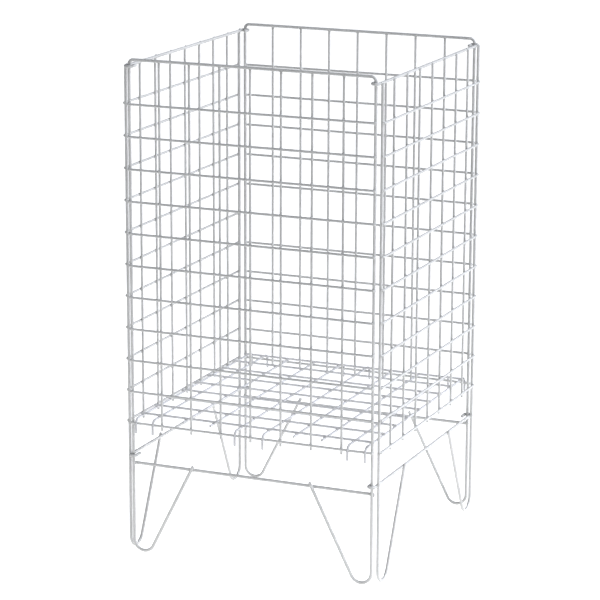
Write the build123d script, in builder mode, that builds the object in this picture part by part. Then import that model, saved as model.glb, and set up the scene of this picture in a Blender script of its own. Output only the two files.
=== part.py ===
"""Collapsible wire mesh container: an open-topped, nearly square basket on hairpin legs, in millimetres.

Four welded wire walls hook together at the corners, and a loose wire base hangs between the front and
back walls. +X is to the right, the front wall faces -Y, +Z is up, and the origin is on the floor under
the middle of the container. Each wire keeps its own solid, and wires sink a little into each other
where they are welded.
"""
import os
from math import acos, atan2, cos, hypot, radians, sin, sqrt

from build123d import *

# Overall sizes, measured between the axes of the front and back walls' corner wires
frame_width = 400.0
frame_depth = 420.0
overall_height = 780.0

# Wire diameters
frame_wire = 4.8  # front and back frames, top rail to legs in one length
leg_wire = 4.8  # legs of the side walls
rail_wire = 4.8  # hooked side rails and all lower rails
mesh_wire = 3.8  # thinner mesh wires and the whole base

# Mesh of the walls
row_count = 11
row_pitch = 50.0
bottom_row_height = 210.0
upright_count = 7
front_pitch = frame_width / (upright_count + 1)
side_pitch = frame_depth / (upright_count + 1)
upright_tail = 8.5  # length of an upright below the bottom row
cross_overhang = 1.0  # length of a side cross wire past the axis of the leg wire

# Rails and legs
corner_radius = 7.5  # bend between a frame's top rail and its corner wires
side_rail_drop = 10.0  # side top rail below the frame's top rail
frame_lower_rail_height = 143.5
side_lower_rail_height = 157.0
side_leg_inset = 5.3  # side leg wire inboard of the corner axis
frame_foot_radius = 17.0
side_foot_radius = 20.0
frame_brace_reach = 102.5  # from the corner axis to the free end of the leg's brace
side_brace_reach = 108.2
brace_rise = 7.5  # free end of a brace above its frame's lower rail
side_brace_rise = 4.0
lower_rail_end_gap = 1.0  # lower rail short of the corner axis

# Hooks at the corners and on the base
hook_clearance = 0.3
hook_tail = 13.0
base_hook_drop = 15.0  # tail of a base hook below the wire it hangs on
base_hook_bend = 9.0
base_rest_gap = 0.2  # between the cross wire and the inside of the base hook seated on it

# Weld set-down: how far one wire sinks into the next
butt_weld = 0.3
mesh_weld = 0.4
frame_weld = 0.8
side_weld = 1.2

# Base grid
base_pitch = 46.5
base_edge_wire = 191.5  # outermost lengthwise wires, from the middle
base_cross_count = 9
base_cross_pitch = 48.5
base_cross_half_length = 196.0
base_straight_end = 13.0  # straight wire past the outermost cross wire

# Positions worked out from the sizes above
half_width = frame_width / 2
half_depth = frame_depth / 2
top_rail_height = overall_height - frame_wire / 2
side_rail_height = top_rail_height - side_rail_drop
row_heights = [bottom_row_height + row_pitch * row for row in range(row_count)]
upright_steps = [step - upright_count // 2 for step in range(upright_count)]
upright_foot = bottom_row_height - upright_tail

hook_radius = (frame_wire + rail_wire) / 2 + hook_clearance
side_rail_out = half_width + hook_radius
side_leg_out = side_rail_out + (rail_wire + leg_wire) / 2 - side_weld
side_cross_out = side_leg_out + (leg_wire + mesh_wire) / 2 - side_weld
side_upright_out = side_cross_out - mesh_wire + mesh_weld

frame_cross_out = half_depth + (frame_wire + mesh_wire) / 2 - frame_weld
frame_upright_out = frame_cross_out - mesh_wire + mesh_weld
frame_lower_rail_out = half_depth - (frame_wire + rail_wire) / 2 + butt_weld

base_tail_out = frame_cross_out + mesh_wire + hook_clearance
base_bend_out = base_tail_out - base_hook_bend
base_seat_reach = base_hook_bend - mesh_wire - base_rest_gap
base_bend_height = bottom_row_height - sqrt(base_seat_reach ** 2 - (frame_cross_out - base_bend_out) ** 2)
base_wire_height = base_bend_height + base_hook_bend
base_cross_height = base_wire_height + mesh_wire - mesh_weld

os.makedirs("parts", exist_ok=True)


def save(part, name):
    """Label a finished piece and write its STEP file."""
    part.label = name
    export_step(part, f"parts/{name}.step")


def foot_curve(corner, foot_radius, foot_height, brace_end):
    """Return the points of a hairpin foot in the (along, up) plane of its wall.

    The corner wire comes down at `corner`, turns round a foot of `foot_radius` whose axis is at
    `foot_height`, and runs straight up to `brace_end`.
    """
    side = 1 if corner > 0 else -1
    centre_along = abs(corner) - foot_radius
    to_end_along = abs(brace_end[0]) - centre_along
    to_end_up = brace_end[1] - foot_height
    leave = atan2(to_end_up, to_end_along) + acos(foot_radius / hypot(to_end_along, to_end_up))
    middle = (leave + radians(360)) / 2
    brace_start = (side * (centre_along + foot_radius * cos(leave)), foot_height + foot_radius * sin(leave))
    lowest = (side * (centre_along + foot_radius * cos(middle)), foot_height + foot_radius * sin(middle))
    return brace_start, lowest, (corner, foot_height)


def frame(wall_y):
    """Front or back frame: brace, foot, corner wire, top rail and back down, bent from one wire."""
    wall = Plane(origin=(0, wall_y, 0), x_dir=(1, 0, 0), z_dir=(0, -1, 0))
    foot_height = frame_foot_radius + frame_wire / 2
    brace_end_along = half_width - frame_brace_reach
    brace_end_up = frame_lower_rail_height + brace_rise
    bend = corner_radius * (1 - cos(radians(45)))
    with BuildPart() as bent_wire:
        with BuildLine(wall) as path:
            left_end = (-brace_end_along, brace_end_up)
            left_brace, left_lowest, left_corner = foot_curve(
                -half_width, frame_foot_radius, foot_height, left_end)
            Line(left_end, left_brace)
            ThreePointArc(left_brace, left_lowest, left_corner)
            Line(left_corner, (-half_width, top_rail_height - corner_radius))
            ThreePointArc(
                (-half_width, top_rail_height - corner_radius),
                (-half_width + bend, top_rail_height - bend),
                (-half_width + corner_radius, top_rail_height))
            Line(
                (-half_width + corner_radius, top_rail_height),
                (half_width - corner_radius, top_rail_height))
            ThreePointArc(
                (half_width - corner_radius, top_rail_height),
                (half_width - bend, top_rail_height - bend),
                (half_width, top_rail_height - corner_radius))
            right_end = (brace_end_along, brace_end_up)
            right_brace, right_lowest, right_corner = foot_curve(
                half_width, frame_foot_radius, foot_height, right_end)
            Line((half_width, top_rail_height - corner_radius), right_corner)
            ThreePointArc(right_corner, right_lowest, right_brace)
            Line(right_brace, right_end)
        with BuildSketch(Plane(origin=path.line @ 0, z_dir=path.line % 0)):
            Circle(frame_wire / 2)
        sweep()
    return bent_wire.part


def side_leg(wall_x, corner_y):
    """Leg wire of a side wall: straight down from the top rail, round its foot and up to the brace end."""
    wall = Plane(origin=(wall_x, 0, 0), x_dir=(0, 1, 0), z_dir=(1, 0, 0))
    side = 1 if corner_y > 0 else -1
    foot_height = side_foot_radius + leg_wire / 2
    brace_end = (corner_y - side * side_brace_reach, side_lower_rail_height + side_brace_rise)
    brace_start, lowest, foot_top = foot_curve(corner_y, side_foot_radius, foot_height, brace_end)
    with BuildPart() as bent_wire:
        with BuildLine(wall) as path:
            Line((corner_y, side_rail_height + rail_wire / 4), foot_top)
            ThreePointArc(foot_top, lowest, brace_start)
            Line(brace_start, brace_end)
        with BuildSketch(Plane(origin=path.line @ 0, z_dir=path.line % 0)):
            Circle(leg_wire / 2)
        sweep()
    return bent_wire.part


def hooked_rail(side, height):
    """Side rail along Y whose ends hook round the corner wires of the front and back frames."""
    outer = side * (half_width + hook_radius)
    inner = side * (half_width - hook_radius)
    middle = side * half_width
    with BuildPart() as bent_wire:
        with BuildLine(Plane.XY.offset(height)) as path:
            Line((inner, -half_depth + hook_tail), (inner, -half_depth))
            ThreePointArc((inner, -half_depth), (middle, -half_depth - hook_radius), (outer, -half_depth))
            Line((outer, -half_depth), (outer, half_depth))
            ThreePointArc((outer, half_depth), (middle, half_depth + hook_radius), (inner, half_depth))
            Line((inner, half_depth), (inner, half_depth - hook_tail))
        with BuildSketch(Plane(origin=path.line @ 0, z_dir=path.line % 0)):
            Circle(rail_wire / 2)
        sweep()
    return bent_wire.part


def wires_along_x(points, half_length, diameter):
    """Straight wires along X, one at each (y, z) point."""
    with BuildPart() as wires:
        with BuildSketch(Plane.YZ.offset(-half_length)):
            with Locations(*points):
                Circle(diameter / 2)
        extrude(amount=2 * half_length)
    return wires.part


def wires_along_y(points, half_length, diameter):
    """Straight wires along Y, one at each (x, z) point."""
    with BuildPart() as wires:
        with BuildSketch(Plane.XZ.offset(-half_length)):
            with Locations(*points):
                Circle(diameter / 2)
        extrude(amount=2 * half_length)
    return wires.part


def wires_along_z(points, foot, top):
    """Upright mesh wires from foot to top, one at each (x, y) point."""
    with BuildPart() as wires:
        with BuildSketch(Plane.XY.offset(foot)):
            with Locations(*points):
                Circle(mesh_wire / 2)
        extrude(amount=top - foot)
    return wires.part


def base_hooks(offsets):
    """Base wires along Y whose two ends hook down over the bottom cross wires of the front and back."""
    elbow = base_hook_bend * cos(radians(45))
    with BuildPart() as wires:
        for offset_x in offsets:
            with BuildLine(Plane(origin=(offset_x, 0, 0), x_dir=(0, 1, 0), z_dir=(1, 0, 0))) as path:
                Line((-base_tail_out, bottom_row_height - base_hook_drop), (-base_tail_out, base_bend_height))
                ThreePointArc(
                    (-base_tail_out, base_bend_height),
                    (-base_bend_out - elbow, base_bend_height + elbow),
                    (-base_bend_out, base_wire_height))
                Line((-base_bend_out, base_wire_height), (base_bend_out, base_wire_height))
                ThreePointArc(
                    (base_bend_out, base_wire_height),
                    (base_bend_out + elbow, base_bend_height + elbow),
                    (base_tail_out, base_bend_height))
                Line((base_tail_out, base_bend_height), (base_tail_out, bottom_row_height - base_hook_drop))
            with BuildSketch(Plane(origin=path.line @ 0, z_dir=path.line % 0)):
                Circle(mesh_wire / 2)
            sweep()
    return wires.part


# Front and back walls, welded flat
for wall_name, facing in (("front", -1), ("back", 1)):
    save(frame(facing * half_depth), f"{wall_name}_frame_wire")

    lower_rail = [(facing * frame_lower_rail_out, frame_lower_rail_height)]
    save(wires_along_x(lower_rail, half_width - lower_rail_end_gap, rail_wire), f"{wall_name}_lower_rail")

    uprights = [(front_pitch * step, facing * frame_upright_out) for step in upright_steps]
    upright_top = top_rail_height - frame_wire / 2 + butt_weld
    save(wires_along_z(uprights, upright_foot, upright_top), f"{wall_name}_upright_wires")

    rows = [(facing * frame_cross_out, height) for height in row_heights]
    save(wires_along_x(rows, half_width + frame_wire / 2, mesh_wire), f"{wall_name}_cross_wires")

# Side walls, hooked round the corner wires of the front and back walls
for wall_name, side in (("left", -1), ("right", 1)):
    save(hooked_rail(side, side_rail_height), f"{wall_name}_top_rail")
    save(hooked_rail(side, side_lower_rail_height), f"{wall_name}_lower_rail")

    leg_y = half_depth - side_leg_inset
    save(side_leg(side * side_leg_out, -leg_y), f"{wall_name}_front_leg_wire")
    save(side_leg(side * side_leg_out, leg_y), f"{wall_name}_back_leg_wire")

    uprights = [(side * side_upright_out, side_pitch * step) for step in upright_steps]
    upright_top = side_rail_height + rail_wire / 4
    save(wires_along_z(uprights, upright_foot, upright_top), f"{wall_name}_upright_wires")

    rows = [(side * side_cross_out, height) for height in row_heights]
    save(wires_along_y(rows, leg_y + cross_overhang, mesh_wire), f"{wall_name}_cross_wires")

# Base grid, hung on the bottom cross wires of the front and back walls
hooked_offsets = [offset for step in (0.5, 3.5) for offset in (-base_pitch * step, base_pitch * step)]
hooked_offsets += [-base_edge_wire, base_edge_wire]
save(base_hooks(hooked_offsets), "base_hook_wires")

straight_offsets = [offset for step in (1.5, 2.5) for offset in (-base_pitch * step, base_pitch * step)]
outer_cross_wire = base_cross_pitch * (base_cross_count // 2)
straight_points = [(offset, base_wire_height) for offset in straight_offsets]
save(wires_along_y(straight_points, outer_cross_wire + base_straight_end, mesh_wire), "base_straight_wires")

cross_steps = [step - base_cross_count // 2 for step in range(base_cross_count)]
cross_points = [(base_cross_pitch * step, base_cross_height) for step in cross_steps]
save(wires_along_x(cross_points, base_cross_half_length, mesh_wire), "base_cross_wires")
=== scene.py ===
"""Collapsible wire mesh container: bent and welded wires with a white powder coat.

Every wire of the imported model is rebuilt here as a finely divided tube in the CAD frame, in metres, and
every welded crossing gets the small fillet that the coating leaves there. Row counts and bends are the
CAD model's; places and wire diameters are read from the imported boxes.
"""
import math
import random

import bmesh
import bpy
from mathutils import Matrix, Vector, noise


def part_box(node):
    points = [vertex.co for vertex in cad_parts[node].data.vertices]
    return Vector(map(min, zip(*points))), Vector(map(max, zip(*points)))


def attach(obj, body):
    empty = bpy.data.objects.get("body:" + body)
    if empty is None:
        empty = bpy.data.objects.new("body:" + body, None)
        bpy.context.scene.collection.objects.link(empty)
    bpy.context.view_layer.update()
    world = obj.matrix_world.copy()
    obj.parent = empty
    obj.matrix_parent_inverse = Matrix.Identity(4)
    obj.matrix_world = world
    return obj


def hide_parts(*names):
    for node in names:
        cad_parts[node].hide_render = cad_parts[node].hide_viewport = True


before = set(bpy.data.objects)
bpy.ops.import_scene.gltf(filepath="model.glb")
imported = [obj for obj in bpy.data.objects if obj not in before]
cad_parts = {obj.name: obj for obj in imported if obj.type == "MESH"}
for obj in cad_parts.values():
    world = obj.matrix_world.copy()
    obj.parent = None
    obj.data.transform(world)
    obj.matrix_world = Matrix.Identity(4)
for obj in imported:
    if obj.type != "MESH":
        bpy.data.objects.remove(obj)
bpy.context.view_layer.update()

MM = 0.001

# Counts and bends of the CAD model that a box doesn't show
ROW_COUNT = 11
UPRIGHT_COUNT = 7
BASE_CROSS_COUNT = 9
TOP_BEND_RADIUS = 7.5 * MM
FRAME_FOOT_RADIUS = 17.0 * MM
SIDE_FOOT_RADIUS = 20.0 * MM
FRAME_BRACE_REACH = 102.5 * MM
SIDE_BRACE_REACH = 108.2 * MM
FRAME_BRACE_RISE = 7.5 * MM
SIDE_BRACE_RISE = 4.0 * MM
HOOK_TAIL = 13.0 * MM
BASE_HOOK_BEND = 9.0 * MM
HOOKED_BASE_WIRES = [-191.5 * MM, -162.75 * MM, -23.25 * MM, 23.25 * MM, 162.75 * MM, 191.5 * MM]
STRAIGHT_BASE_WIRES = [-116.25 * MM, -69.75 * MM, 69.75 * MM, 116.25 * MM]

# Fineness of the tubes
TUBE_SIDES = 18
RING_STEP = 7.0 * MM
BEND_STEP = math.radians(7.5)
END_PROFILE = [(0.0, 0.0), (0.42, 0.08), (0.68, 0.22), (0.86, 0.45), (0.97, 0.75)]
END_LENGTH = 0.55

# Cut ends: share of the radius left flat, and how worn the coat is there
CUT_FLAT = 0.30
CUT_WEAR = 0.7

# Coating: its thickness waves below the nominal wire, so that the wire never grows
COAT_WAVE = 0.022
COAT_WAVE_LENGTH = 11.0 * MM
WAVER = 0.22 * MM
WAVER_LENGTH = 120.0 * MM
WAVER_SEED_STEP = 7.3

# Reach of the worn coating where wires rub: on the corner wires, on the side hooks, on the base hooks
CORNER_WEAR = 11 * MM
SIDE_HOOK_WEAR = 13 * MM
BASE_HOOK_WEAR = 9 * MM

# Weld fillets, as shares of the wires' radii, how uneven they are, and how much painted crevice shade greys
# them
WELD_SPREAD = 1.45
WELD_THICKNESS = 0.72
FILLET_SPREAD = (0.88, 1.12)
FILLET_SWELL = 0.10
FILLET_GRAIN = 1.7
FILLET_VARIETY = 900
FILLET_CREVICE_SHADE = 0.35

# How deep the welds at the corner and leg wires sit, and the collars on top of the front and back uprights
CORNER_WELD_DEPTH = 0.4 * MM
LEG_WELD_DEPTH = 0.6 * MM
COLLAR_SINK = 0.1 * MM
COLLAR_WIDE_MM = 2.6
COLLAR_DEEP_MM = 2.4
COLLAR_HIGH_MM = 1.1


class Wires:
    """Collects the tubes and fillets of one piece, with a mark on each point for how worn the coat is, and on
    the fillets for painted crevice shade.
    """

    def __init__(self):
        self.points = []
        self.faces = []
        self.marks = []

    def ring(self, centre, across, up, radius, mark):
        first = len(self.points)
        for side in range(TUBE_SIDES):
            turn = 2 * math.pi * side / TUBE_SIDES
            wave = noise.noise((centre + across * math.cos(turn) * 0.01 + up * math.sin(turn) * 0.01)
                               / COAT_WAVE_LENGTH)
            film = radius * (1 - COAT_WAVE * (0.5 + 0.5 * wave))
            self.points.append(centre + (across * math.cos(turn) + up * math.sin(turn)) * film)
            self.marks.append(mark)
        return first

    def tube(self, path, radius, marks=()):
        """A round wire along the path, with rounded cut ends. marks are (point, reach) worn places."""
        def worn(place):
            near = 0.0
            for spot, reach in marks:
                near = max(near, 1 - (place - spot).length / reach)
            return near

        directions = []
        for i, place in enumerate(path):
            before = path[max(i - 1, 0)]
            after = path[min(i + 1, len(path) - 1)]
            directions.append((after - before).normalized())
        across = directions[0].orthogonal().normalized()
        rings = []
        for i, place in enumerate(path):
            across = (across - directions[i] * across.dot(directions[i])).normalized()
            up = directions[i].cross(across)
            if i == 0:
                self.end(place, directions[0], across, up, radius, rings, True)
            elif i == len(path) - 1:
                self.end(place, directions[i], across, up, radius, rings, False)
            else:
                rings.append(self.ring(place, across, up, radius, worn(place)))
        for low, high in zip(rings, rings[1:]):
            for side in range(TUBE_SIDES):
                turn = (side + 1) % TUBE_SIDES
                self.faces.append((low + side, low + turn, high + turn, high + side))
        start = tuple(rings[0] + side for side in reversed(range(TUBE_SIDES)))
        finish = tuple(rings[-1] + side for side in range(TUBE_SIDES))
        self.faces += [start, finish]

    def end(self, tip, direction, across, up, radius, rings, opening):
        """The rounded end of a cut wire, closed by a small flat where the cut was."""
        inward = direction if opening else -direction
        profile = END_PROFILE + [(1.0, 1.0)]
        order = profile if opening else list(reversed(profile))
        for share, along in order:
            width = radius * (CUT_FLAT + (1 - CUT_FLAT) * share)
            rings.append(self.ring(tip + inward * along * END_LENGTH * radius, across, up, width,
                                   CUT_WEAR * (1 - share)))

    def fillet(self, centre, axes, draw):
        """The rounded web of coating round a welded crossing: a small uneven lens."""
        lens = bmesh.new()
        bmesh.ops.create_icosphere(lens, subdivisions=2, radius=1.0)
        first = len(self.points)
        spread = [draw.uniform(*FILLET_SPREAD) for _ in range(3)]
        for vertex in lens.verts:
            swell = 1 + FILLET_SWELL * noise.noise(vertex.co * FILLET_GRAIN + centre * FILLET_VARIETY)
            place = centre.copy()
            for axis, part, grow in zip(axes, vertex.co, spread):
                place += axis * part * grow * swell
            self.points.append(place)
            # Painted shade: every fillet point carries a fixed mark that greys the coat there, standing in for
            # the shade in the crevice of a welded crossing.
            self.marks.append(FILLET_CREVICE_SHADE)
        for face in lens.faces:
            self.faces.append(tuple(first + vertex.index for vertex in face.verts))
        lens.free()

    def piece(self, name, body, slot, material, *nodes):
        """Turn what was collected into one smooth piece that rides on its body."""
        mesh = bpy.data.meshes.new(name)
        mesh.from_pydata([tuple(point) for point in self.points], [], self.faces)
        mesh.validate()
        # The mark holds real wear at cut ends and rubbed hooks, and painted shade on the weld fillets.
        mark = mesh.attributes.new("coat_wear_and_shade", "FLOAT", "POINT")
        mark.data.foreach_set("value", self.marks)
        mesh.polygons.foreach_set("use_smooth", [True] * len(mesh.polygons))
        shaped = bmesh.new()
        shaped.from_mesh(mesh)
        bmesh.ops.recalc_face_normals(shaped, faces=shaped.faces)
        shaped.to_mesh(mesh)
        shaped.free()
        mesh.materials.append(material)
        made = bpy.data.objects.new(name, mesh)
        bpy.context.scene.collection.objects.link(made)
        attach(made, body)
        if nodes:
            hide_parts(*nodes)
        return made


def straight(start, finish):
    """Points along a straight run, without its last one."""
    count = max(1, math.ceil((finish - start).length / RING_STEP))
    return [start.lerp(finish, i / count) for i in range(count)]


def arc(centre, radius, first, last, lay):
    """Points round a bend in the plane that lay() maps to 3-D, without the last one."""
    count = max(2, math.ceil(abs(last - first) / BEND_STEP))
    turns = [first + (last - first) * i / count for i in range(count)]
    return [lay(centre[0] + radius * math.cos(turn), centre[1] + radius * math.sin(turn)) for turn in turns]


def waver(path, normal, seed):
    """A drawn wire is never quite true: let it drift a little sideways within its wall."""
    if len(path) < 4:
        return path
    run = (path[-1] - path[0]).normalized()
    sideways = run.cross(normal).normalized()
    length = (path[-1] - path[0]).length
    drifted = []
    for place in path:
        along = (place - path[0]).dot(run)
        fade = math.sin(math.pi * min(max(along / length, 0.0), 1.0)) ** 0.5
        drift = noise.noise(Vector((along / WAVER_LENGTH, seed * WAVER_SEED_STEP, 0.5)))
        drifted.append(place + sideways * WAVER * fade * drift)
    return drifted


def foot(corner, radius, height, brace_end):
    """The centre of a hairpin foot and the angle where its brace leaves it, for the right-hand side."""
    centre = (abs(corner) - radius, height)
    out = abs(brace_end[0]) - centre[0]
    rise = brace_end[1] - height
    leave = math.atan2(rise, out) + math.acos(radius / math.hypot(out, rise))
    return centre, leave


def middle(low, high):
    return (low + high) / 2


def spaced(low, high, count):
    return [low + (high - low) * i / (count - 1) for i in range(count)]


# Powder coating -------------------------------------------------------------------------------------------

COAT_IOR = 1.52
COAT_ROUGHNESS_LOW = 0.34
COAT_ROUGHNESS_HIGH = 0.50
PEEL_STRENGTH = 0.28
PEEL_HEIGHT = 0.00012


def coating(name, tone, seed):
    """White epoxy powder coat: fine orange peel, uneven gloss, faint tone drift, greyer where it is worn, and
    painted shade greying the weld fillets.
    """
    material = bpy.data.materials.new(name)
    material.use_nodes = True
    nodes = material.node_tree.nodes
    links = material.node_tree.links
    shader = nodes["Principled BSDF"]
    shader.inputs["IOR"].default_value = COAT_IOR
    shader.inputs["Metallic"].default_value = 0.0

    place = nodes.new("ShaderNodeTexCoord")

    def field(scale, detail, roughness, offset):
        shift = nodes.new("ShaderNodeMapping")
        shift.inputs["Location"].default_value = (offset, -offset, 2 * offset)
        links.new(place.outputs["Object"], shift.inputs["Vector"])
        texture = nodes.new("ShaderNodeTexNoise")
        texture.inputs["Scale"].default_value = scale
        texture.inputs["Detail"].default_value = detail
        texture.inputs["Roughness"].default_value = roughness
        links.new(shift.outputs["Vector"], texture.inputs["Vector"])
        return texture.outputs["Fac"]

    def ramp(source, stops):
        made = nodes.new("ShaderNodeValToRGB")
        spots = made.color_ramp.elements
        while len(spots) < len(stops):
            spots.new(0.5)
        for spot, (position, value) in zip(spots, stops):
            spot.position = position
            spot.color = (*value, 1.0)
        links.new(source, made.inputs["Fac"])
        return made.outputs["Color"]

    def mix(kind, factor, first, second):
        made = nodes.new("ShaderNodeMix")
        made.data_type = "RGBA"
        made.blend_type = kind
        if isinstance(factor, float):
            made.inputs["Factor"].default_value = factor
        else:
            links.new(factor, made.inputs["Factor"])
        links.new(first, made.inputs["A"])
        links.new(second, made.inputs["B"])
        return made.outputs["Result"]

    def scaled(value):
        return tuple(value * part for part in tone)

    drift = ramp(field(14.0, 3.0, 0.55, seed), [(0.30, scaled(0.94)), (0.70, scaled(1.03))])
    film = ramp(field(160.0, 3.0, 0.6, seed + 3.1), [(0.35, (0.965,) * 3), (0.60, (1.0,) * 3)])
    specks = ramp(field(950.0, 1.0, 0.5, seed + 5.7), [(0.27, (0.80,) * 3), (0.33, (1.0,) * 3)])
    clean = mix("MULTIPLY", 1.0, mix("MULTIPLY", 1.0, drift, film), specks)

    # Real wear at cut ends and rubbed hooks, and painted crevice shade on the weld fillets, both mix the coat
    # towards the greyer colour below.
    wear_and_shade = nodes.new("ShaderNodeAttribute")
    wear_and_shade.attribute_name = "coat_wear_and_shade"
    patch = nodes.new("ShaderNodeMath")
    patch.operation = "MULTIPLY"
    links.new(wear_and_shade.outputs["Fac"], patch.inputs[0])
    links.new(field(420.0, 2.0, 0.6, seed + 8.2), patch.inputs[1])
    scuffed_and_shaded = ramp(field(300.0, 2.0, 0.5, seed + 1.9), [(0.3, scaled(0.72)), (0.7, scaled(0.86))])
    links.new(mix("MIX", patch.outputs["Value"], clean, scuffed_and_shaded), shader.inputs["Base Color"])

    gloss = nodes.new("ShaderNodeMapRange")
    gloss.inputs["From Min"].default_value = 0.3
    gloss.inputs["From Max"].default_value = 0.7
    gloss.inputs["To Min"].default_value = COAT_ROUGHNESS_LOW
    gloss.inputs["To Max"].default_value = COAT_ROUGHNESS_HIGH
    links.new(field(90.0, 3.0, 0.6, seed + 4.4), gloss.inputs["Value"])
    links.new(gloss.outputs["Result"], shader.inputs["Roughness"])

    peel = nodes.new("ShaderNodeBump")
    peel.inputs["Strength"].default_value = PEEL_STRENGTH
    peel.inputs["Distance"].default_value = PEEL_HEIGHT
    links.new(field(720.0, 2.0, 0.5, seed + 2.3), peel.inputs["Height"])
    links.new(peel.outputs["Normal"], shader.inputs["Normal"])
    return material


# Painted light: the base's tone is set lighter and cooler than the walls', for the base wires lit more from the
# bright floor below them.
WALL_TONE = (0.62, 0.62, 0.612)
BASE_TONE = (0.67, 0.67, 0.68)
wall_coat = coating("white_powder_coat_walls", WALL_TONE, 0.0)
base_coat = coating("white_powder_coat_base", BASE_TONE, 11.0)


# Pieces ---------------------------------------------------------------------------------------------------

def along_axis(axis, first, last, fixed):
    """A straight path from first to last along an axis, at the fixed values of the other two."""
    start = Vector(fixed)
    finish = Vector(fixed)
    start[axis] = first
    finish[axis] = last
    return straight(start, finish) + [finish]


def cross_weld(wires, place, first, first_radius, second, second_radius, draw):
    """The fillet where a wire along `first` is welded to one along `second`."""
    normal = first.cross(second).normalized()
    thin = min(first_radius, second_radius)
    axes = (first.normalized() * WELD_SPREAD * second_radius, second.normalized() * WELD_SPREAD * first_radius,
            normal * WELD_THICKNESS * thin)
    wires.fillet(place, axes, draw)


def hairpin(side, corner, radius, height, brace_end, lay):
    """From the free end of the brace down round the foot, up to where the corner wire starts."""
    centre, leave = foot(corner, radius, height, brace_end)
    turn = (centre[0] + radius * math.cos(leave), centre[1] + radius * math.sin(leave))

    def mirrored(along, up):
        return lay(side * along, up)

    return (straight(mirrored(*brace_end), mirrored(*turn))
            + arc(centre, radius, leave, 2 * math.pi, mirrored))


X_AXIS = Vector((1, 0, 0))
Y_AXIS = Vector((0, 1, 0))
Z_AXIS = Vector((0, 0, 1))


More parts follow.
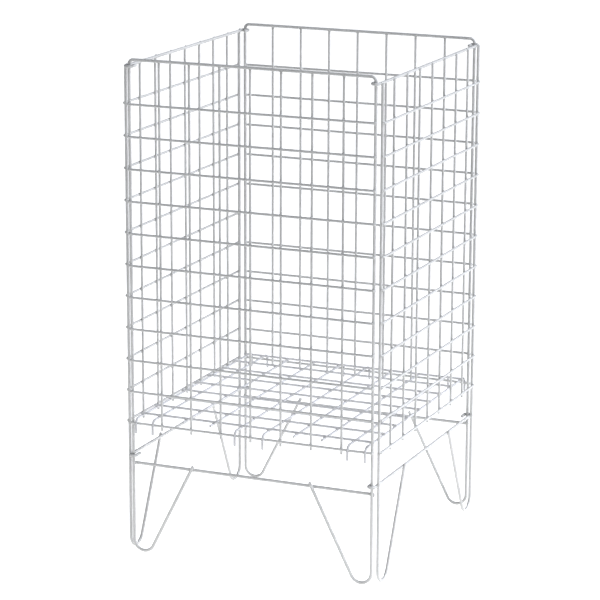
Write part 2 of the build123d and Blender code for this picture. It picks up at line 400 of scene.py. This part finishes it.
def end_wall(name, facing, seed):
    """Front or back wall: frame wire with its hairpin legs, lower rail, uprights, cross wires, fillets."""
    body = f"{name}_wall"
    draw = random.Random(seed)

    low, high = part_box(f"{name}_frame_wire")
    frame_radius = (high.y - low.y) / 2
    frame_y = middle(low.y, high.y)
    half = high.x - frame_radius
    top = high.z - frame_radius
    foot_height = low.z + frame_radius + FRAME_FOOT_RADIUS

    rail_low, rail_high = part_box(f"{name}_lower_rail")
    rail_radius = (rail_high.z - rail_low.z) / 2
    rail_y = middle(rail_low.y, rail_high.y)
    rail_z = middle(rail_low.z, rail_high.z)

    def lay(along, up):
        return Vector((along, frame_y, up))

    brace_end = (half - FRAME_BRACE_REACH, rail_z + FRAME_BRACE_RISE)
    bend = TOP_BEND_RADIUS
    left = hairpin(-1, half, FRAME_FOOT_RADIUS, foot_height, brace_end, lay)
    right = hairpin(1, half, FRAME_FOOT_RADIUS, foot_height, brace_end, lay)
    path = left + straight(lay(-half, foot_height), lay(-half, top - bend))
    path += arc((-half + bend, top - bend), bend, math.pi, math.pi / 2, lay)
    path += straight(lay(-half + bend, top), lay(half - bend, top))
    path += arc((half - bend, top - bend), bend, math.pi / 2, 0.0, lay)
    path += straight(lay(half, top - bend), lay(half, foot_height)) + [lay(half, foot_height)]
    path += list(reversed(right))
    hooked = []
    for side in ("left", "right"):
        for rail in ("top", "lower"):
            hook_low, hook_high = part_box(f"{side}_{rail}_rail")
            hooked.append((Vector((middle(hook_low.x, hook_high.x), frame_y,
                                   middle(hook_low.z, hook_high.z))), CORNER_WEAR))
    wires = Wires()
    wires.tube(path, frame_radius, hooked)
    wires.piece(f"{name}_wall_bent_frame", body, "wall_coating", wall_coat, f"{name}_frame_wire")

    wires = Wires()
    wires.tube(along_axis(0, rail_low.x, rail_high.x, (0, rail_y, rail_z)), rail_radius)
    wires.piece(f"{name}_wall_lower_rail", body, "wall_coating", wall_coat, f"{name}_lower_rail")

    low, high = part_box(f"{name}_upright_wires")
    upright_radius = (high.y - low.y) / 2
    upright_y = middle(low.y, high.y)
    upright_top = high.z
    columns = spaced(low.x + upright_radius, high.x - upright_radius, UPRIGHT_COUNT)
    wires = Wires()
    for number, x in enumerate(columns):
        path = along_axis(2, low.z, high.z, (x, upright_y, 0))
        wires.tube(waver(path, Y_AXIS, seed + number), upright_radius)
    wires.piece(f"{name}_wall_uprights", body, "wall_coating", wall_coat, f"{name}_upright_wires")

    low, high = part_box(f"{name}_cross_wires")
    cross_radius = (high.y - low.y) / 2
    cross_y = middle(low.y, high.y)
    rows = spaced(low.z + cross_radius, high.z - cross_radius, ROW_COUNT)
    wires = Wires()
    for number, z in enumerate(rows):
        path = along_axis(0, low.x, high.x, (0, cross_y, z))
        wires.tube(waver(path, Y_AXIS, seed + 20 + number), cross_radius)
    wires.piece(f"{name}_wall_cross_wires", body, "wall_coating", wall_coat, f"{name}_cross_wires")

    wires = Wires()
    weld_y = middle(cross_y, upright_y)
    edge_y = cross_y - facing * (cross_radius - CORNER_WELD_DEPTH)
    for z in rows:
        for x in columns:
            cross_weld(wires, Vector((x, weld_y, z)), X_AXIS, cross_radius, Z_AXIS, upright_radius, draw)
        for x in (-half, half):
            cross_weld(wires, Vector((x, edge_y, z)), X_AXIS, cross_radius, Z_AXIS, frame_radius, draw)
    for x in columns:
        collar = Vector((x, upright_y, upright_top - COLLAR_SINK))
        collar_axes = (X_AXIS * COLLAR_WIDE_MM * MM, Y_AXIS * COLLAR_DEEP_MM * MM, Z_AXIS * COLLAR_HIGH_MM * MM)
        wires.fillet(collar, collar_axes, draw)
    centre, leave = foot(half, FRAME_FOOT_RADIUS, foot_height, brace_end)
    turn = (centre[0] + FRAME_FOOT_RADIUS * math.cos(leave), centre[1] + FRAME_FOOT_RADIUS * math.sin(leave))
    share = (rail_z - turn[1]) / (brace_end[1] - turn[1])
    brace_x = turn[0] + (brace_end[0] - turn[0]) * share
    for side in (-1, 1):
        lean = Vector((side * (brace_end[0] - turn[0]), 0, brace_end[1] - turn[1])).normalized()
        touch_y = middle(rail_y, frame_y)
        cross_weld(wires, Vector((side * brace_x, touch_y, rail_z)), X_AXIS, rail_radius, lean,
                   frame_radius, draw)
        cross_weld(wires, Vector((side * half, touch_y, rail_z)), X_AXIS, rail_radius, Z_AXIS,
                   frame_radius, draw)
    wires.piece(f"{name}_wall_weld_fillets", body, "wall_coating", wall_coat)


def side_wall(name, side, seed):
    """Left or right wall: hooked rails, leg wires, uprights, cross wires and fillets."""
    body = f"{name}_wall"
    draw = random.Random(seed)

    rails = {}
    for rail in ("top", "lower"):
        low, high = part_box(f"{name}_{rail}_rail")
        radius = (high.z - low.z) / 2
        height = middle(low.z, high.z)
        hook = (high.x - low.x) / 2 - radius
        corner_x = middle(low.x, high.x)
        corner_y = high.y - radius - hook

        def lay(out, along, height=height, corner_x=corner_x):
            return Vector((corner_x + side * out, along, height))

        tail = corner_y - HOOK_TAIL
        path = straight(lay(-hook, -tail), lay(-hook, -corner_y))
        path += arc((0, -corner_y), hook, math.pi, 2 * math.pi, lay)
        path += straight(lay(hook, -corner_y), lay(hook, corner_y))
        path += arc((0, corner_y), hook, 0.0, math.pi, lay)
        path += straight(lay(-hook, corner_y), lay(-hook, tail)) + [lay(-hook, tail)]
        worn = [(lay(0, -corner_y), SIDE_HOOK_WEAR), (lay(0, corner_y), SIDE_HOOK_WEAR)]
        wires = Wires()
        wires.tube(path, radius, worn)
        wires.piece(f"{name}_wall_{rail}_rail", body, "wall_coating", wall_coat, f"{name}_{rail}_rail")
        rails[rail] = (corner_x + side * hook, height, radius)

    lower_x, lower_z, lower_radius = rails["lower"]
    top_x, top_z, top_radius = rails["top"]
    legs = []
    for end_name, end in (("front", -1), ("back", 1)):
        low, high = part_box(f"{name}_{end_name}_leg_wire")
        leg_radius = (high.x - low.x) / 2
        leg_x = middle(low.x, high.x)
        leg_y = (high.y - leg_radius) if end > 0 else -(low.y + leg_radius)
        foot_height = low.z + leg_radius + SIDE_FOOT_RADIUS
        leg_top = high.z

        def lay(along, up, leg_x=leg_x):
            return Vector((leg_x, along, up))

        brace_end = (leg_y - SIDE_BRACE_REACH, lower_z + SIDE_BRACE_RISE)
        path = hairpin(end, leg_y, SIDE_FOOT_RADIUS, foot_height, brace_end, lay)
        start = lay(end * leg_y, foot_height)
        finish = lay(end * leg_y, leg_top)
        path += straight(start, finish) + [finish]
        wires = Wires()
        wires.tube(path, leg_radius)
        wires.piece(f"{name}_wall_{end_name}_leg", body, "wall_coating", wall_coat,
                    f"{name}_{end_name}_leg_wire")
        legs.append(end * leg_y)

    low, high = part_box(f"{name}_upright_wires")
    upright_radius = (high.x - low.x) / 2
    upright_x = middle(low.x, high.x)
    columns = spaced(low.y + upright_radius, high.y - upright_radius, UPRIGHT_COUNT)
    wires = Wires()
    for number, y in enumerate(columns):
        path = along_axis(2, low.z, high.z, (upright_x, y, 0))
        wires.tube(waver(path, X_AXIS, seed + number), upright_radius)
    wires.piece(f"{name}_wall_uprights", body, "wall_coating", wall_coat, f"{name}_upright_wires")

    low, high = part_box(f"{name}_cross_wires")
    cross_radius = (high.x - low.x) / 2
    cross_x = middle(low.x, high.x)
    rows = spaced(low.z + cross_radius, high.z - cross_radius, ROW_COUNT)
    wires = Wires()
    for number, z in enumerate(rows):
        path = along_axis(1, low.y, high.y, (cross_x, 0, z))
        wires.tube(waver(path, X_AXIS, seed + 20 + number), cross_radius)
    wires.piece(f"{name}_wall_cross_wires", body, "wall_coating", wall_coat, f"{name}_cross_wires")

    wires = Wires()
    weld_x = middle(cross_x, upright_x)
    leg_weld_x = cross_x - side * (cross_radius - LEG_WELD_DEPTH)
    for z in rows:
        for y in columns:
            cross_weld(wires, Vector((weld_x, y, z)), Y_AXIS, cross_radius, Z_AXIS, upright_radius, draw)
        for y in legs:
            cross_weld(wires, Vector((leg_weld_x, y, z)), Y_AXIS, cross_radius, Z_AXIS, leg_radius, draw)
    for y in columns:
        cross_weld(wires, Vector((middle(top_x, upright_x), y, top_z)), Y_AXIS, top_radius, Z_AXIS,
                   upright_radius, draw)
    centre, leave = foot(leg_y, SIDE_FOOT_RADIUS, foot_height, brace_end)
    turn = (centre[0] + SIDE_FOOT_RADIUS * math.cos(leave), centre[1] + SIDE_FOOT_RADIUS * math.sin(leave))
    share = (lower_z - turn[1]) / (brace_end[1] - turn[1])
    brace_y = turn[0] + (brace_end[0] - turn[0]) * share
    touch_x = middle(lower_x, leg_x)
    for end in (-1, 1):
        lean = Vector((0, end * (brace_end[0] - turn[0]), brace_end[1] - turn[1])).normalized()
        cross_weld(wires, Vector((touch_x, end * brace_y, lower_z)), Y_AXIS, lower_radius, lean,
                   leg_radius, draw)
        for height in (lower_z, top_z):
            cross_weld(wires, Vector((touch_x, end * leg_y, height)), Y_AXIS, lower_radius, Z_AXIS,
                       leg_radius, draw)
    wires.piece(f"{name}_wall_weld_fillets", body, "wall_coating", wall_coat)


def base_grid(seed):
    """Loose base: lengthwise wires, six of them hooked over the walls' bottom cross wires."""
    draw = random.Random(seed)
    low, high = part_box("base_hook_wires")
    radius = high.x - HOOKED_BASE_WIRES[-1]
    outer = high.y - radius
    wire_z = high.z - radius
    hook = BASE_HOOK_BEND
    wires = Wires()
    for number, x in enumerate(HOOKED_BASE_WIRES):

        def lay(along, up, x=x):
            return Vector((x, along, up))

        path = straight(lay(-outer, low.z), lay(-outer, wire_z - hook))
        path += arc((-outer + hook, wire_z - hook), hook, math.pi, math.pi / 2, lay)
        run_start = lay(-outer + hook, wire_z)
        run_end = lay(outer - hook, wire_z)
        run = waver(straight(run_start, run_end) + [run_end], Z_AXIS, seed + number)
        path += run[:-1]
        path += arc((outer - hook, wire_z - hook), hook, math.pi / 2, 0.0, lay)
        path += straight(lay(outer, wire_z - hook), lay(outer, low.z)) + [lay(outer, low.z)]
        worn = [(lay(-outer, wire_z - hook), BASE_HOOK_WEAR), (lay(outer, wire_z - hook), BASE_HOOK_WEAR)]
        wires.tube(path, radius, worn)
    wires.piece("base_hooked_wires", "base", "base_coating", base_coat, "base_hook_wires")

    low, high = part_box("base_straight_wires")
    wires = Wires()
    for number, x in enumerate(STRAIGHT_BASE_WIRES):
        path = along_axis(1, low.y, high.y, (x, 0, wire_z))
        wires.tube(waver(path, Z_AXIS, seed + 10 + number), radius)
    wires.piece("base_straight_lengthwise_wires", "base", "base_coating", base_coat, "base_straight_wires")

    low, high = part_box("base_cross_wires")
    cross_z = middle(low.z, high.z)
    rows = spaced(low.y + radius, high.y - radius, BASE_CROSS_COUNT)
    wires = Wires()
    for number, y in enumerate(rows):
        path = along_axis(0, low.x, high.x, (0, y, cross_z))
        wires.tube(waver(path, Z_AXIS, seed + 30 + number), radius)
    wires.piece("base_crosswise_wires", "base", "base_coating", base_coat, "base_cross_wires")

    wires = Wires()
    for y in rows:
        for x in sorted(HOOKED_BASE_WIRES + STRAIGHT_BASE_WIRES):
            cross_weld(wires, Vector((x, y, middle(wire_z, cross_z))), X_AXIS, radius, Y_AXIS, radius, draw)
    wires.piece("base_weld_fillets", "base", "base_coating", base_coat)


end_wall("front", -1, 101)
end_wall("back", 1, 202)
side_wall("left", -1, 303)
side_wall("right", 1, 404)
base_grid(505)


# Studio ---------------------------------------------------------------------------------------------------

FLOOR_SIZE = 60.0
FLOOR_GLOW = 0.80
FLOOR_NEAR_GLOW = 0.0
FLOOR_NEAR_START = 0.15
FLOOR_NEAR_REACH = 0.65
FLOOR_COLOUR = (0.55, 0.55, 0.55, 1)
FLOOR_ROUGHNESS = 0.9
HORIZON_LIGHT = 0.40
OVERHEAD_LIGHT = 0.06
HORIZON_FADE = (0.10, 0.28)
COOL_WHITE = (0.90, 0.93, 1.0)

SUN_PLACE = (2.5, 1.0, 3.0)
SUN_STRENGTH = 2.2
SUN_SOFTNESS = math.radians(40)

SOFTBOX_SIZE = 1.8
FRONT_SOFTBOX = ((0.3, -1.4, 4.8), (0, 0, 0.5), 60.0)
RIGHT_SOFTBOX = ((3.4, 0.4, 1.6), (0, 0, 0.4), 44.0)

KICKER_CORNERS = [(2.5, -2.5), (-2.5, -2.5), (2.5, 2.5), (-2.5, 2.5)]
KICKER_HEIGHT = 0.5
KICKER_TARGET = (0, 0, -0.15)
KICKER_POWER = 95.0
KICKER_CONE = math.radians(22)
KICKER_SOFTNESS = 0.15

VIEW_GAMMA = 0.8


def plain_floor(size, glow, near_glow, near_reach):
    """A pale floor like a lit table. near_glow is added close to the object; at zero the glow is even."""
    mesh = bpy.data.meshes.new("studio_floor")
    sheet = bmesh.new()
    bmesh.ops.create_grid(sheet, x_segments=2, y_segments=2, size=size)
    sheet.to_mesh(mesh)
    sheet.free()
    material = bpy.data.materials.new("studio_floor_white")
    material.use_nodes = True
    nodes = material.node_tree.nodes
    links = material.node_tree.links
    shader = nodes["Principled BSDF"]
    shader.inputs["Base Color"].default_value = FLOOR_COLOUR
    shader.inputs["Roughness"].default_value = FLOOR_ROUGHNESS
    shader.inputs["Specular IOR Level"].default_value = 0.0
    shader.inputs["Emission Color"].default_value = (1, 1, 1, 1)
    place = nodes.new("ShaderNodeTexCoord")
    reach = nodes.new("ShaderNodeVectorMath")
    reach.operation = "LENGTH"
    links.new(place.outputs["Object"], reach.inputs[0])
    fade = nodes.new("ShaderNodeMapRange")
    fade.interpolation_type = "SMOOTHSTEP"
    fade.inputs["From Min"].default_value = FLOOR_NEAR_START
    fade.inputs["From Max"].default_value = near_reach
    fade.inputs["To Min"].default_value = glow + near_glow
    fade.inputs["To Max"].default_value = glow
    links.new(reach.outputs["Value"], fade.inputs["Value"])
    links.new(fade.outputs["Result"], shader.inputs["Emission Strength"])
    mesh.materials.append(material)
    floor = bpy.data.objects.new("studio_floor", mesh)
    bpy.context.scene.collection.objects.link(floor)


def soft_world(low_light, high_light):
    """A studio that is bright at the horizon and dim overhead."""
    world = bpy.data.worlds.new("soft_studio")
    world.use_nodes = True
    nodes = world.node_tree.nodes
    links = world.node_tree.links
    back = nodes["Background"]
    place = nodes.new("ShaderNodeTexCoord")
    parts = nodes.new("ShaderNodeSeparateXYZ")
    links.new(place.outputs["Generated"], parts.inputs["Vector"])
    fade = nodes.new("ShaderNodeMapRange")
    fade.interpolation_type = "SMOOTHSTEP"
    fade.inputs["From Min"].default_value = HORIZON_FADE[0]
    fade.inputs["From Max"].default_value = HORIZON_FADE[1]
    fade.inputs["To Min"].default_value = low_light
    fade.inputs["To Max"].default_value = high_light
    links.new(parts.outputs["Z"], fade.inputs["Value"])
    links.new(fade.outputs["Result"], back.inputs["Strength"])
    back.inputs["Color"].default_value = (1, 1, 1, 1)
    bpy.context.scene.world = world


def aim(made, target):
    made.rotation_mode = "QUATERNION"
    made.rotation_quaternion = (Vector(target) - made.location).to_track_quat("-Z", "Y")


def area_light(name, place, target, size, power, colour):
    data = bpy.data.lights.new(name, "AREA")
    data.color = colour
    data.shape = "DISK"
    data.size = size
    data.energy = power
    made = bpy.data.objects.new(name, data)
    made.location = place
    aim(made, target)
    bpy.context.scene.collection.objects.link(made)
    return made


def low_spot(name, place, target, power, cone):
    """A low spot whose soft upper edge fades out up the legs and the lower rows."""
    data = bpy.data.lights.new(name, "SPOT")
    data.energy = power
    data.spot_size = cone
    data.spot_blend = 1.0
    data.shadow_soft_size = KICKER_SOFTNESS
    made = bpy.data.objects.new(name, data)
    made.location = place
    aim(made, target)
    bpy.context.scene.collection.objects.link(made)
    return made


def sun_light(name, place, strength, softness, colour):
    data = bpy.data.lights.new(name, "SUN")
    data.color = colour
    data.energy = strength
    data.angle = softness
    made = bpy.data.objects.new(name, data)
    made.location = place
    aim(made, (0, 0, 0))
    bpy.context.scene.collection.objects.link(made)
    return made


plain_floor(FLOOR_SIZE, FLOOR_GLOW, FLOOR_NEAR_GLOW, FLOOR_NEAR_REACH)
soft_world(HORIZON_LIGHT, OVERHEAD_LIGHT)
sun_light("overhead_soft_sun", SUN_PLACE, SUN_STRENGTH, SUN_SOFTNESS, COOL_WHITE)
for light_name, (place, target, power) in (("front_softbox", FRONT_SOFTBOX), ("right_softbox", RIGHT_SOFTBOX)):
    area_light(light_name, place, target, SOFTBOX_SIZE, power, COOL_WHITE)
for number, (x, y) in enumerate(KICKER_CORNERS):
    low_spot(f"low_kicker_{number}", (x, y, KICKER_HEIGHT), KICKER_TARGET, KICKER_POWER, KICKER_CONE)

# Camera at the reference viewing angle
CAMERA_PLACE = Vector((1.6104, -3.7506, 1.3862))
CAMERA_YAW = math.radians(23.357)
CAMERA_PITCH = math.radians(-13.873)
CAMERA_ROLL = math.radians(0.195)
CAMERA_LENS = 159.68
SENSOR_WIDTH = 36.0


def studio_camera():
    ahead = Vector((-math.sin(CAMERA_YAW) * math.cos(CAMERA_PITCH),
                    math.cos(CAMERA_YAW) * math.cos(CAMERA_PITCH), math.sin(CAMERA_PITCH)))
    level = Vector((math.cos(CAMERA_YAW), math.sin(CAMERA_YAW), 0))
    upward = level.cross(ahead)
    right = level * math.cos(CAMERA_ROLL) + upward * math.sin(CAMERA_ROLL)
    top = upward * math.cos(CAMERA_ROLL) - level * math.sin(CAMERA_ROLL)
    turn = Matrix((right, top, -ahead)).transposed()
    data = bpy.data.cameras.new("studio_camera")
    data.sensor_fit = "HORIZONTAL"
    data.sensor_width = SENSOR_WIDTH
    data.lens = CAMERA_LENS
    data.clip_end = 200.0
    made = bpy.data.objects.new("studio_camera", data)
    made.matrix_world = Matrix.Translation(CAMERA_PLACE) @ turn.to_4x4()
    bpy.context.scene.collection.objects.link(made)
    bpy.context.scene.camera = made


studio_camera()
bpy.context.scene.view_settings.view_transform = "Standard"
bpy.context.scene.view_settings.gamma = VIEW_GAMMA
